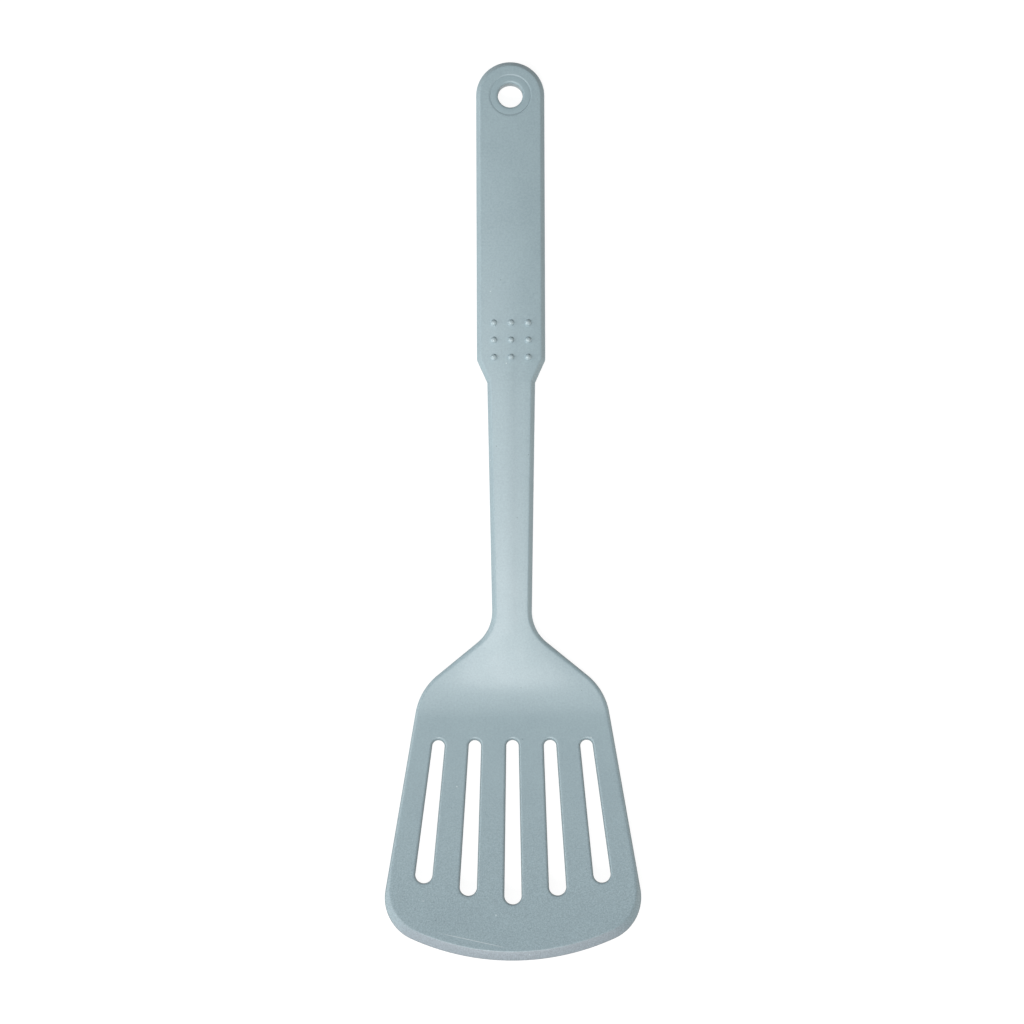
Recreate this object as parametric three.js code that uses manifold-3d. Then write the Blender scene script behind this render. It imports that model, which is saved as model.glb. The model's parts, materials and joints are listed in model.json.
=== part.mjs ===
import * as THREE from 'three';
import { mergeVertices } from 'three/addons/utils/BufferGeometryUtils.js';
import ManifoldModule from 'manifold-3d';

const wasm = await ManifoldModule();
wasm.setup();
const { Manifold, Mesh: SolidMesh } = wasm;

// All sizes are in millimetres and all angles in degrees.
// "Along" means the distance from the lip of the blade towards the end of the handle.

// Plan of the blade, seen from above
const BLADE_WIDTH = 91.3;
const LIP_RADIUS = 88;
const LIP_CORNER_RADIUS = 16;
const BLADE_SIDE_LEAN = 9.8;
const SHOULDER_ANGLE = 50.8;
const SHOULDER_CORNER_RADIUS = 22;
const NECK_FILLET_RADIUS = 14.3;
const NECK_FOOT_ALONG = 117.5;
const NECK_FOOT_WIDTH = 13.92;
const NECK_TOP_WIDTH = 17;
const MOUTH_ALONG = 205.7;

// Side profile: the blade rises to its lip, the neck climbs from the heel and levels out
const BLADE_RISE = 9;
const BEND_START_ALONG = 84;
const BEND_END_ALONG = 99;
const BEND_END_SLOPE = 5;
const NECK_STEEP_ALONG = 124;
const NECK_STEEP_SLOPE = 12;
const NECK_TOP_SLOPE = 0.5;

// Thickness and edges
const BLADE_THICKNESS = 2.6;
const NECK_FOOT_THICKNESS = 5.4;
const HANDLE_THICKNESS = 7;
const EDGE_CHAMFER = 1.4;
const BLADE_EDGE_CHAMFER = 0.45;
const LIP_BEVEL_WIDTH = 3.2;
const LIP_BEVEL_ANGLE = 29;
const LIP_BEVEL_SIDE_WIDTH = 0.6;
const LIP_BEVEL_FULL_ALONG = 8;
const LIP_BEVEL_SIDE_ALONG = 36;
const LIP_FLAT_WIDTH = 1.4;

// Slots: round ended, wider towards the lip and fanned out
const SLOT_TOP_ALONG = 78.4;
const SLOT_TOP_WIDTH = 4.4;
const SLOT_FOOT_WIDTH = 6.1;
const CENTRE_SLOT_FOOT_ALONG = 19.9;
const INNER_SLOT_FOOT_ALONG = 23;
const OUTER_SLOT_FOOT_ALONG = 27.5;
const INNER_SLOT_TOP_OFFSET = 13.4;
const INNER_SLOT_FOOT_OFFSET = 15.9;
const OUTER_SLOT_TOP_OFFSET = 26.4;
const OUTER_SLOT_FOOT_OFFSET = 31.7;

// Handle
const HANDLE_WIDTH = 24.3;
const HANDLE_LENGTH = 114.7;
const HANDLE_TAPER_LENGTH = 8;
const HANDLE_TAPER_ROUNDING = 2.5;

// Tang inside the handle
const TANG_WIDTH = 10.6;
const TANG_THICKNESS = 2.6;
const TANG_EYE_RADIUS = 9;
const TANG_ROOT_LENGTH = 8;

// Hanging eyelet
const EYELET_BORE = 9;
const EYELET_WALL = 1.2;
const EYELET_FLANGE = 14.8;
const EYELET_FLANGE_THICKNESS = 0.8;
const EYELET_SINK = 0.25;
const EYELET_RIM_CHAMFER = 0.95;
const EYELET_FLARE_WIDTH = 0.5;
const EYELET_FLARE_DEPTH = 3;

// Grip dots
const DOT_DIAMETER = 2.4;
const DOT_HEIGHT = 0.9;
const DOT_SIDE_HEIGHT = 0.45;
const DOT_SIDE_DRAFT = 0.1;
const DOT_TOP_WIDTH = 1.4;
const DOT_TOP_RISE = 0.1;
const DOT_STEM_DIAMETER = 1.3;
const DOT_STEM_LENGTH = 1.1;
const DOT_PITCH = 6.1;
const DOT_FIELD_ALONG = 220.35;
const DOT_ROWS = 3;
const DOT_COLUMNS = 3;

// Fits
const CLEARANCE = 0.3;
const SEAT_GAP = 0.1;
const CUT_MARGIN = 2;

// Fineness of the facets
const PROFILE_STEP = 6;
const PLAN_ARC_STEPS = 5;
const PLATE_ARC_STEPS = 10;
const EYE_SEGMENTS = 48;
const DOT_SEGMENTS = 16;

// Finish
const BODY_COLOUR = 0xa3b6bc;
const BODY_ROUGHNESS = 0.5;
const EYELET_COLOUR = 0xa0b3b9;
const EYELET_ROUGHNESS = 0.48;
const DOT_COLOUR = 0xaabcc1;
const DOT_ROUGHNESS = 0.4;

const radians = THREE.MathUtils.degToRad;
const eyeletBarrel = EYELET_BORE + 2 * EYELET_WALL;

function toSolid(geometry) {
  const bare = new THREE.BufferGeometry();
  bare.setAttribute('position', geometry.getAttribute('position').clone());
  bare.setIndex(geometry.getIndex());
  const welded = mergeVertices(bare, 1e-4);
  const vertProperties = new Float32Array(welded.getAttribute('position').array);
  const triVerts = new Uint32Array(welded.getIndex().array);
  return new Manifold(new SolidMesh({ numProp: 3, vertProperties, triVerts }));
}

function toGeometry(solid) {
  const mesh = solid.getMesh();
  const indexed = new THREE.BufferGeometry();
  indexed.setAttribute('position', new THREE.BufferAttribute(new Float32Array(mesh.vertProperties), 3));
  indexed.setIndex(new THREE.BufferAttribute(new Uint32Array(mesh.triVerts), 1));
  const geometry = indexed.toNonIndexed();
  geometry.computeVertexNormals();
  return geometry;
}

// Closed body through rings that hold the same number of points
function loft(rings) {
  const size = rings[0].length;
  const positions = rings.flat().flatMap((point) => [point.x, point.y, point.z]);
  const index = [];
  for (let ring = 0; ring < rings.length - 1; ring += 1) {
    for (let corner = 0; corner < size; corner += 1) {
      const next = (corner + 1) % size;
      const a = ring * size + corner;
      const b = ring * size + next;
      const c = (ring + 1) * size + next;
      const d = (ring + 1) * size + corner;
      index.push(a, b, c, a, c, d);
    }
  }
  const last = (rings.length - 1) * size;
  for (let corner = 1; corner < size - 1; corner += 1) {
    index.push(0, corner + 1, corner);
    index.push(last, last + corner, last + corner + 1);
  }
  const geometry = new THREE.BufferGeometry();
  geometry.setAttribute('position', new THREE.Float32BufferAttribute(positions, 3));
  geometry.setIndex(index);
  return toSolid(geometry);
}

// Adds the rounded corner between the path's last point and the point after the corner
function roundCorner(path, before, corner, after, radius) {
  const back = before.clone().sub(corner).normalize();
  const ahead = after.clone().sub(corner).normalize();
  const half = Math.acos(back.dot(ahead)) / 2;
  const reach = radius / Math.tan(half);
  const start = corner.clone().addScaledVector(back, reach);
  const end = corner.clone().addScaledVector(ahead, reach);
  const toCentre = back.clone().add(ahead).normalize();
  const centre = corner.clone().addScaledVector(toCentre, radius / Math.sin(half));
  const startAngle = Math.atan2(start.y - centre.y, start.x - centre.x);
  const endAngle = Math.atan2(end.y - centre.y, end.x - centre.x);
  const clockwise = back.cross(ahead) > 0;
  path.lineTo(start.x, start.y);
  path.absarc(centre.x, centre.y, radius, startAngle, endAngle, clockwise);
}

// Slope knots of the side profile, as rise over run along the object
const SLOPE_KNOTS = [
  [-BLADE_WIDTH, -Math.tan(radians(BLADE_RISE))],
  [BEND_START_ALONG, -Math.tan(radians(BLADE_RISE))],
  [BEND_END_ALONG, Math.tan(radians(BEND_END_SLOPE))],
  [NECK_STEEP_ALONG, Math.tan(radians(NECK_STEEP_SLOPE))],
  [MOUTH_ALONG, Math.tan(radians(NECK_TOP_SLOPE))],
  [MOUTH_ALONG + BLADE_WIDTH, Math.tan(radians(NECK_TOP_SLOPE))],
];

// Height of the middle surface, before the object is set down
function middleHeight(along) {
  let height = 0;
  for (let knot = 0; knot < SLOPE_KNOTS.length - 1; knot += 1) {
    const [from, slopeFrom] = SLOPE_KNOTS[knot];
    const [to, slopeTo] = SLOPE_KNOTS[knot + 1];
    const run = THREE.MathUtils.clamp(along - from, 0, to - from);
    height += slopeFrom * run + ((slopeTo - slopeFrom) * run * run) / (2 * (to - from));
  }
  return height;
}

function thicknessAt(along) {
  if (along < NECK_STEEP_ALONG) {
    const share = THREE.MathUtils.inverseLerp(BEND_START_ALONG, NECK_STEEP_ALONG, along);
    const clamped = THREE.MathUtils.clamp(share, 0, 1);
    return THREE.MathUtils.lerp(BLADE_THICKNESS, NECK_FOOT_THICKNESS, clamped);
  }
  const share = THREE.MathUtils.inverseLerp(NECK_STEEP_ALONG, MOUTH_ALONG, along);
  return THREE.MathUtils.lerp(NECK_FOOT_THICKNESS, HANDLE_THICKNESS, Math.min(share, 1));
}

function chamferAt(along) {
  const share = THREE.MathUtils.inverseLerp(BEND_START_ALONG, NECK_STEEP_ALONG, along);
  return THREE.MathUtils.lerp(BLADE_EDGE_CHAMFER, EDGE_CHAMFER, THREE.MathUtils.clamp(share, 0, 1));
}

// Right half of the blade's plan, from the neck's top to the middle of the lip
function bladeHalfPlan() {
  const neckTop = new THREE.Vector2(NECK_TOP_WIDTH / 2, MOUTH_ALONG);
  const neckFoot = new THREE.Vector2(NECK_FOOT_WIDTH / 2, NECK_FOOT_ALONG);
  const cornerX = BLADE_WIDTH / 2 - LIP_CORNER_RADIUS;
  const cornerY = LIP_RADIUS - Math.sqrt((LIP_RADIUS - LIP_CORNER_RADIUS) ** 2 - cornerX ** 2);
  const lean = radians(BLADE_SIDE_LEAN);
  const sideFoot = new THREE.Vector2(
    cornerX + LIP_CORNER_RADIUS * Math.cos(lean),
    cornerY + LIP_CORNER_RADIUS * Math.sin(lean),
  );
  const shoulderRate = Math.tan(radians(SHOULDER_ANGLE));
  const sideRate = Math.tan(lean);
  const widthAtFoot = sideFoot.x - neckFoot.x + sideRate * (sideFoot.y - neckFoot.y);
  const shoulderDrop = widthAtFoot / (shoulderRate - sideRate);
  const shoulder = new THREE.Vector2(neckFoot.x + shoulderRate * shoulderDrop, neckFoot.y - shoulderDrop);
  const lipAngle = Math.atan2(cornerY - LIP_RADIUS, cornerX);
  const path = new THREE.Path();
  path.moveTo(neckTop.x, neckTop.y + CUT_MARGIN);
  path.lineTo(neckTop.x, neckTop.y);
  roundCorner(path, neckTop, neckFoot, shoulder, NECK_FILLET_RADIUS);
  roundCorner(path, neckFoot, shoulder, sideFoot, SHOULDER_CORNER_RADIUS);
  path.lineTo(sideFoot.x, sideFoot.y);
  path.absarc(cornerX, cornerY, LIP_CORNER_RADIUS, lean, lipAngle, true);
  path.absarc(0, LIP_RADIUS, LIP_RADIUS, lipAngle, -Math.PI / 2, true);
  return path.getPoints(PLAN_ARC_STEPS);
}

// Splits long steps of a plan, so that the body can follow the side profile
function refine(points, longest) {
  const out = [points[0]];
  for (const point of points.slice(1)) {
    const from = out[out.length - 1];
    const bends = Math.max(from.y, point.y) > BEND_START_ALONG - longest;
    const parts = bends ? Math.ceil(Math.abs(point.y - from.y) / longest) : 1;
    for (let part = 1; part <= parts; part += 1) {
      out.push(from.clone().lerp(point, part / parts));
    }
  }
  return out.filter((point, place) => place === 0 || point.distanceTo(out[place - 1]) > 1e-3);
}

// Section across the blade or the neck, with a limit on the chamfer's inset where the outline runs across
function bladeRing(half, y, sideways) {
  const leastSideways = 0.3;
  const largestInset = 0.4 * half;
  const thick = thicknessAt(y) / 2;
  const chamfer = chamferAt(y);
  const inset = Math.min(chamfer / Math.max(sideways, leastSideways), largestInset);
  const z = middleHeight(y);
  return [
    new THREE.Vector3(half - inset, y, z + thick),
    new THREE.Vector3(-half + inset, y, z + thick),
    new THREE.Vector3(-half, y, z + thick - chamfer),
    new THREE.Vector3(-half, y, z - thick + chamfer),
    new THREE.Vector3(-half + inset, y, z - thick),
    new THREE.Vector3(half - inset, y, z - thick),
    new THREE.Vector3(half, y, z - thick + chamfer),
    new THREE.Vector3(half, y, z + thick - chamfer),
  ];
}

function outwardAt(points, place) {
  const before = points[Math.max(place - 1, 0)];
  const after = points[Math.min(place + 1, points.length - 1)];
  return new THREE.Vector2(before.y - after.y, after.x - before.x).normalize();
}

function bladeBody(plan) {
  const rings = plan
    .map((point, place) => ({ point, out: outwardAt(plan, place) }))
    .filter(({ point }) => point.x > LIP_FLAT_WIDTH / 2)
    .map(({ point, out }) => bladeRing(point.x, point.y, Math.abs(out.x)));
  return loft(rings);
}

// Wedge that runs round the lip and takes the upper edge down to a thin front
function lipBevelCutter(plan) {
  const rightSide = plan.filter((point) => point.y < BEND_START_ALONG && point.x > 0);
  const leftSide = rightSide.slice().reverse().map((point) => new THREE.Vector2(-point.x, point.y));
  const outline = [...rightSide, ...leftSide];
  const between = outline.slice(1).map((point, place) => point.clone().lerp(outline[place], 0.5));
  const edge = between.filter((point) => point.y < LIP_BEVEL_SIDE_ALONG);
  const rate = Math.tan(radians(LIP_BEVEL_ANGLE));
  const overrun = 0.25;
  const rings = edge.map((point, place) => {
    const out = outwardAt(edge, place);
    const share = THREE.MathUtils.smoothstep(point.y, LIP_BEVEL_FULL_ALONG, LIP_BEVEL_SIDE_ALONG);
    const width = THREE.MathUtils.lerp(LIP_BEVEL_WIDTH, LIP_BEVEL_SIDE_WIDTH, share);
    const place3 = (inward, lift) => {
      const x = point.x - out.x * inward;
      const along = point.y - out.y * inward;
      const top = middleHeight(along) + thicknessAt(along) / 2;
      return new THREE.Vector3(x, along, top + lift);
    };
    const inside = place3(width * (1 + overrun), width * overrun * rate);
    const outside = place3(-CUT_MARGIN, -(width + CUT_MARGIN) * rate);
    const above = place3(-CUT_MARGIN, CUT_MARGIN);
    return [inside, outside, above];
  });
  return loft(rings);
}

function slotCutter(topOffset, footOffset, footAlong) {
  const topRadius = SLOT_TOP_WIDTH / 2;
  const footRadius = SLOT_FOOT_WIDTH / 2;
  const top = new THREE.Vector2(topOffset, SLOT_TOP_ALONG - topRadius);
  const foot = new THREE.Vector2(footOffset, footAlong + footRadius);
  const axis = top.clone().sub(foot);
  const heading = Math.atan2(axis.y, axis.x);
  const spread = Math.acos((footRadius - topRadius) / axis.length());
  const shape = new THREE.Shape();
  shape.absarc(top.x, top.y, topRadius, heading - spread, heading + spread, false);
  shape.absarc(foot.x, foot.y, footRadius, heading + spread, heading - spread + 2 * Math.PI, false);
  const depth = BLADE_WIDTH;
  const settings = { depth, bevelEnabled: false, curveSegments: PLATE_ARC_STEPS };
  const geometry = new THREE.ExtrudeGeometry(shape, settings);
  geometry.translate(0, 0, -depth / 2);
  return toSolid(geometry);
}

// The handle's own frame: its origin is at the mouth, y runs to the end of the handle, z up from its middle
const heelHeight = Math.min(
  ...Array.from({ length: MOUTH_ALONG }, (_, along) => middleHeight(along) - thicknessAt(along) / 2),
);
const mouthHeight = middleHeight(MOUTH_ALONG);

// The handle leans so that the back of its end and the heel lie on the same surface
const handleReach = new THREE.Vector2(HANDLE_LENGTH - EDGE_CHAMFER, HANDLE_THICKNESS / 2);
const handleTilt = Math.asin((mouthHeight - heelHeight) / handleReach.length()) - handleReach.angle();
const eyeAlong = HANDLE_LENGTH - HANDLE_WIDTH / 2;
const handleFrame = new THREE.Matrix4().makeRotationX(-handleTilt).setPosition(0, MOUTH_ALONG, mouthHeight);

function plate(shape, thickness, frame, bevel = 0) {
  const settings = {
    depth: thickness - 2 * bevel,
    bevelEnabled: bevel > 0,
    bevelSize: bevel,
    bevelThickness: bevel,
    bevelOffset: -bevel,
    bevelSegments: 1,
    curveSegments: PLATE_ARC_STEPS,
  };
  const geometry = new THREE.ExtrudeGeometry(shape, settings);
  geometry.translate(0, 0, -thickness / 2 + bevel);
  geometry.applyMatrix4(frame);
  return toSolid(geometry);
}

function rod(diameter, length, middleZ, segments, x, y) {
  const geometry = new THREE.CylinderGeometry(diameter / 2, diameter / 2, length, segments);
  geometry.rotateX(Math.PI / 2);
  geometry.translate(x, y, middleZ);
  geometry.applyMatrix4(handleFrame);
  return toSolid(geometry);
}

// Block in the handle's frame that takes away all beyond a cut across it
function handleSideBlock(direction, cutY) {
  const size = HANDLE_WIDTH * 2;
  const geometry = new THREE.BoxGeometry(size, size, size);
  geometry.translate(0, cutY + (direction * size) / 2, 0);
  geometry.applyMatrix4(handleFrame);
  return toSolid(geometry);
}

function handleShape() {
  const half = HANDLE_WIDTH / 2;
  const mouthHalf = NECK_TOP_WIDTH / 2;
  const mouth = new THREE.Vector2(mouthHalf, 0);
  const wide = new THREE.Vector2(half, HANDLE_TAPER_LENGTH);
  const far = new THREE.Vector2(half, eyeAlong);
  const right = new THREE.Path();
  right.moveTo(mouthHalf, -HANDLE_TAPER_LENGTH);
  right.lineTo(mouth.x, mouth.y);
  roundCorner(right, mouth, wide, far, HANDLE_TAPER_ROUNDING);
  right.absarc(0, eyeAlong, half, 0, Math.PI / 2, false);
  const rightPoints = right.getPoints(PLAN_ARC_STEPS);
  const leftPoints = rightPoints.slice(0, -1).reverse().map((point) => new THREE.Vector2(-point.x, point.y));
  return new THREE.Shape([...rightPoints, ...leftPoints]);
}

// Straight bar that ends in a round eye; grown by a clearance it is also the socket
function tangShape(grow) {
  const half = TANG_WIDTH / 2 + grow;
  const eye = TANG_EYE_RADIUS + grow;
  const meet = Math.asin(half / eye);
  const shape = new THREE.Shape();
  shape.moveTo(-half, -TANG_ROOT_LENGTH);
  shape.lineTo(half, -TANG_ROOT_LENGTH);
  shape.absarc(0, eyeAlong, eye, -Math.PI / 2 + meet, (3 * Math.PI) / 2 - meet, false);
  return shape;
}

const dotPlaces = [];
for (let row = 0; row < DOT_ROWS; row += 1) {
  for (let column = 0; column < DOT_COLUMNS; column += 1) {
    const x = (column - (DOT_COLUMNS - 1) / 2) * DOT_PITCH;
    const y = (DOT_FIELD_ALONG - MOUTH_ALONG) / Math.cos(handleTilt) + ((DOT_ROWS - 1) / 2 - row) * DOT_PITCH;
    dotPlaces.push(new THREE.Vector2(x, y));
  }
}

function buildBlade() {
  const plan = refine(bladeHalfPlan(), PROFILE_STEP);
  let solid = bladeBody(plan);
  solid = solid.subtract(lipBevelCutter(plan));
  const slots = [slotCutter(0, 0, CENTRE_SLOT_FOOT_ALONG)];
  for (const side of [-1, 1]) {
    const innerTop = side * INNER_SLOT_TOP_OFFSET;
    const innerFoot = side * INNER_SLOT_FOOT_OFFSET;
    const outerTop = side * OUTER_SLOT_TOP_OFFSET;
    const outerFoot = side * OUTER_SLOT_FOOT_OFFSET;
    slots.push(slotCutter(innerTop, innerFoot, INNER_SLOT_FOOT_ALONG));
    slots.push(slotCutter(outerTop, outerFoot, OUTER_SLOT_FOOT_ALONG));
  }
  for (const slot of slots) {
    solid = solid.subtract(slot);
  }
  solid = solid.subtract(handleSideBlock(1, -CLEARANCE));
  solid = solid.add(plate(tangShape(0), TANG_THICKNESS, handleFrame));
  const eyeHole = rod(eyeletBarrel + 2 * CLEARANCE, HANDLE_THICKNESS, 0, EYE_SEGMENTS, 0, eyeAlong);
  return solid.subtract(eyeHole);
}

function buildHandle() {
  const top = HANDLE_THICKNESS / 2;
  let solid = plate(handleShape(), HANDLE_THICKNESS, handleFrame, EDGE_CHAMFER);
  solid = solid.subtract(handleSideBlock(-1, 0));
  solid = solid.subtract(plate(tangShape(CLEARANCE), TANG_THICKNESS + 2 * CLEARANCE, handleFrame));
  const flangeDepth = EYELET_SINK + EYELET_FLANGE_THICKNESS + SEAT_GAP;
  const flangeSeat = rod(
    EYELET_FLANGE + 2 * CLEARANCE,
    flangeDepth + CUT_MARGIN,
    top - flangeDepth + (flangeDepth + CUT_MARGIN) / 2,
    EYE_SEGMENTS,
    0,
    eyeAlong,
  );
  const barrelWidth = eyeletBarrel + 2 * CLEARANCE;
  const barrelHole = rod(barrelWidth, HANDLE_THICKNESS + CUT_MARGIN, 0, EYE_SEGMENTS, 0, eyeAlong);
  solid = solid.subtract(flangeSeat).subtract(barrelHole);
  const socketDepth = DOT_STEM_LENGTH + CLEARANCE;
  for (const place of dotPlaces) {
    const socket = rod(
      DOT_STEM_DIAMETER + 2 * CLEARANCE,
      socketDepth + CUT_MARGIN,
      top - socketDepth + (socketDepth + CUT_MARGIN) / 2,
      DOT_SEGMENTS,
      place.x,
      place.y,
    );
    solid = solid.subtract(socket);
  }
  return solid;
}

function eyeletGeometry() {
  const top = HANDLE_THICKNESS / 2 - EYELET_SINK;
  const foot = -HANDLE_THICKNESS / 2 + EYELET_SINK;
  const bore = EYELET_BORE / 2;
  const profile = [
    new THREE.Vector2(bore, foot + EYELET_FLARE_DEPTH),
    new THREE.Vector2(bore + EYELET_FLARE_WIDTH, foot),
    new THREE.Vector2(eyeletBarrel / 2, foot),
    new THREE.Vector2(eyeletBarrel / 2, top - EYELET_FLANGE_THICKNESS),
    new THREE.Vector2(EYELET_FLANGE / 2, top - EYELET_FLANGE_THICKNESS),
    new THREE.Vector2(EYELET_FLANGE / 2, top),
    new THREE.Vector2(bore + EYELET_RIM_CHAMFER, top),
    new THREE.Vector2(bore, top - EYELET_RIM_CHAMFER),
    new THREE.Vector2(bore, foot + EYELET_FLARE_DEPTH),
  ];
  const geometry = new THREE.LatheGeometry(profile, EYE_SEGMENTS);
  geometry.rotateX(Math.PI / 2);
  return geometry;
}

function dotGeometry() {
  const radius = DOT_DIAMETER / 2;
  const stemRadius = DOT_STEM_DIAMETER / 2;
  const profile = [
    new THREE.Vector2(0, -DOT_STEM_LENGTH),
    new THREE.Vector2(stemRadius, -DOT_STEM_LENGTH),
    new THREE.Vector2(stemRadius, SEAT_GAP),
    new THREE.Vector2(radius, SEAT_GAP),
    new THREE.Vector2(radius - DOT_SIDE_DRAFT, DOT_SIDE_HEIGHT),
    new THREE.Vector2(DOT_TOP_WIDTH / 2, DOT_HEIGHT - DOT_TOP_RISE),
    new THREE.Vector2(0, DOT_HEIGHT),
  ];
  const geometry = new THREE.LatheGeometry(profile, DOT_SEGMENTS);
  geometry.rotateX(Math.PI / 2);
  return geometry;
}

function finish(colour, roughness) {
  return new THREE.MeshStandardMaterial({ color: colour, roughness, metalness: 0 });
}

function named(name, geometry, material) {
  const mesh = new THREE.Mesh(geometry, material);
  mesh.name = name;
  return mesh;
}

const spatula = new THREE.Group();
spatula.name = 'slotted_spatula';
spatula.add(named('blade', toGeometry(buildBlade()), finish(BODY_COLOUR, BODY_ROUGHNESS)));
spatula.add(named('handle', toGeometry(buildHandle()), finish(BODY_COLOUR, BODY_ROUGHNESS)));

// Pieces that are fitted to the handle sit in its frame
const onHandle = new THREE.Group();
onHandle.name = 'on_handle';
onHandle.applyMatrix4(handleFrame);
const eyelet = named('hanging_eyelet', eyeletGeometry(), finish(EYELET_COLOUR, EYELET_ROUGHNESS));
eyelet.position.set(0, eyeAlong, 0);
onHandle.add(eyelet);
dotPlaces.forEach((place, count) => {
  const dot = named(`grip_dot_${count + 1}`, dotGeometry(), finish(DOT_COLOUR, DOT_ROUGHNESS));
  dot.position.set(place.x, place.y, HANDLE_THICKNESS / 2);
  onHandle.add(dot);
});
spatula.add(onHandle);

// The origin is under the middle of the object, on the surface that it lies on
const box = new THREE.Box3().setFromObject(spatula, true);
const middle = box.getCenter(new THREE.Vector3());
spatula.position.set(-middle.x, -middle.y, -box.min.z);
spatula.updateMatrixWorld(true);

export default spatula;
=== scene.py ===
# %% [markdown]
# # A moulded slotted spatula
# The object is a kitchen spatula of matt grey-blue nylon: a wide blade with five draining slots, a neck
# that climbs away from it, and a flat handle with a hanging eyelet and nine grip dots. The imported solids
# give the place and size of each piece, but they are faceted. A modifier could smooth them, with the
# same rounding on every edge. So each piece is drawn again here as a fine mesh whose edges have the
# shape of the real ones.

import json
import math

import bpy
import numpy as np
from mathutils import Matrix, Vector
from mathutils.geometry import delaunay_2d_cdt


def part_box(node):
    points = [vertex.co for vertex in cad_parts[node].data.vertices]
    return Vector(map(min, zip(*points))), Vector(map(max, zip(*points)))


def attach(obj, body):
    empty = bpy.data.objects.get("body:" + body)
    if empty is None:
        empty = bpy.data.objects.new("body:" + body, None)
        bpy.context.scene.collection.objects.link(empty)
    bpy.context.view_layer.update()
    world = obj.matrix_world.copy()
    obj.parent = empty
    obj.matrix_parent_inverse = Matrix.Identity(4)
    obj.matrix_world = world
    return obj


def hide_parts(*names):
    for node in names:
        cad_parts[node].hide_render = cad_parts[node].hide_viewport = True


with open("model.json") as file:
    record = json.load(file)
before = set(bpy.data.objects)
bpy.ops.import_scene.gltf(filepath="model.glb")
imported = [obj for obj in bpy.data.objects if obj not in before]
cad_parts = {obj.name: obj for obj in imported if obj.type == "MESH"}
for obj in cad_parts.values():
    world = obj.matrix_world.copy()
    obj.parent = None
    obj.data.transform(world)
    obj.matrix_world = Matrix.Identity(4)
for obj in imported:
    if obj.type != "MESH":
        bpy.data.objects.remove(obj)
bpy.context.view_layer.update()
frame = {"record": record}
MM = 0.001

# %% [markdown]
# ## Where the handle lies
# The handle leans back, so that its end and the heel of the blade touch the table together. It could be
# drawn at that lean, but flat shapes are easier to work out. So the handle, its eyelet and its dots are
# drawn flat in the handle's own frame, which starts at the mouth where the neck ends, and one matrix
# sets them in place. The record holds the lean: the axis of the hanging hole stands square to the
# handle. "Along" is the distance in millimetres from the lip of the blade towards the handle's end.

# %% The handle's own frame
MOUTH_ALONG = 205.7
HANDLE_LENGTH = 114.7
HANDLE_WIDTH = 24.3

lip_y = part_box("blade")[0].y / MM
hole = next(mount for mount in frame["record"]["mounts"] if mount["name"] == "hanging_hole")
handle_up = Vector(hole["axis"])
handle_back = Vector((0, handle_up.z, -handle_up.y))
handle_tilt = math.atan2(handle_up.y, handle_up.z)
eye_along = HANDLE_LENGTH - HANDLE_WIDTH / 2
mouth = Vector(hole["pos_m"]) / MM - handle_back * eye_along
handle_frame = Matrix.Translation(mouth) @ Matrix.Rotation(-handle_tilt, 4, "X")
print("handle leans back by", round(math.degrees(handle_tilt), 2), "degrees")
print("middle of the mouth in mm:", [round(value, 2) for value in mouth])

# %% [markdown]
# ## Side profile
# Seen from the side, the blade rises to its lip, turns at the heel and becomes a neck that climbs to the
# handle, steeply at first and then less and less. A curve object would need its points tuned by eye. A
# list of slopes is easier to read: between two knots the slope changes evenly, so the surface is smooth
# everywhere and the light runs over it without a crease. Two knots ease the neck into the handle, a hair
# above the handle's straight line, so that the joint hardly shows. From there the upper face bows down
# to the handle's end.

# %% Slopes of the blade and the neck
PAST_LIP = -10
LIP_CURL_END = 6
LIP_CURL_START = 34
BEND_START = 86
BEND_END = 100
NECK_STEEP = 112
NECK_MIDDLE = 126
# Slopes are in degrees.
LIP_RISE = 10.4
BLADE_RISE = 9
BEND_END_SLOPE = 6.0
NECK_STEEP_SLOPE = 11.1
NECK_MIDDLE_SLOPE = 8.9
NECK_TOP_SLOPE = 3.2


def slope(degrees):
    return math.tan(math.radians(degrees))


blade_knots = [
    (PAST_LIP, -slope(LIP_RISE)),
    (LIP_CURL_END, -slope(LIP_RISE)),
    (LIP_CURL_START, -slope(BLADE_RISE)),
    (BEND_START, -slope(BLADE_RISE)),
    (BEND_END, slope(BEND_END_SLOPE)),
    (NECK_STEEP, slope(NECK_STEEP_SLOPE)),
    (NECK_MIDDLE, slope(NECK_MIDDLE_SLOPE)),
]
print("knots from the lip to the neck:", len(blade_knots))

# %% Slopes over the joint and along the handle
MOUTH_EASE = 8
MOUTH_LIFT = 0.22
HANDLE_BOW = 4.8

neck_fall = (slope(NECK_MIDDLE_SLOPE) - slope(NECK_TOP_SLOPE)) / (MOUTH_ALONG - NECK_MIDDLE)
ease_slope = slope(NECK_TOP_SLOPE) + neck_fall * MOUTH_EASE
handle_slope = -math.tan(handle_tilt)
handle_run = HANDLE_LENGTH * math.cos(handle_tilt)
bow_start = handle_slope + slope(HANDLE_BOW)
ease_run = MOUTH_EASE * (slope(NECK_TOP_SLOPE) - bow_start) / (ease_slope - bow_start)
handle_drop = handle_slope * handle_run - MOUTH_LIFT
bow_end = 2 * (handle_drop - bow_start * ease_run) / (handle_run - ease_run) - bow_start
handle_knots = [
    (MOUTH_ALONG - MOUTH_EASE, ease_slope),
    (MOUTH_ALONG + ease_run, bow_start),
    (MOUTH_ALONG + handle_run, bow_end),
]
print("the neck eases into the handle over", round(MOUTH_EASE + ease_run, 1), "mm")

# %% Heights along the object
HEEL = 90.0

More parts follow.
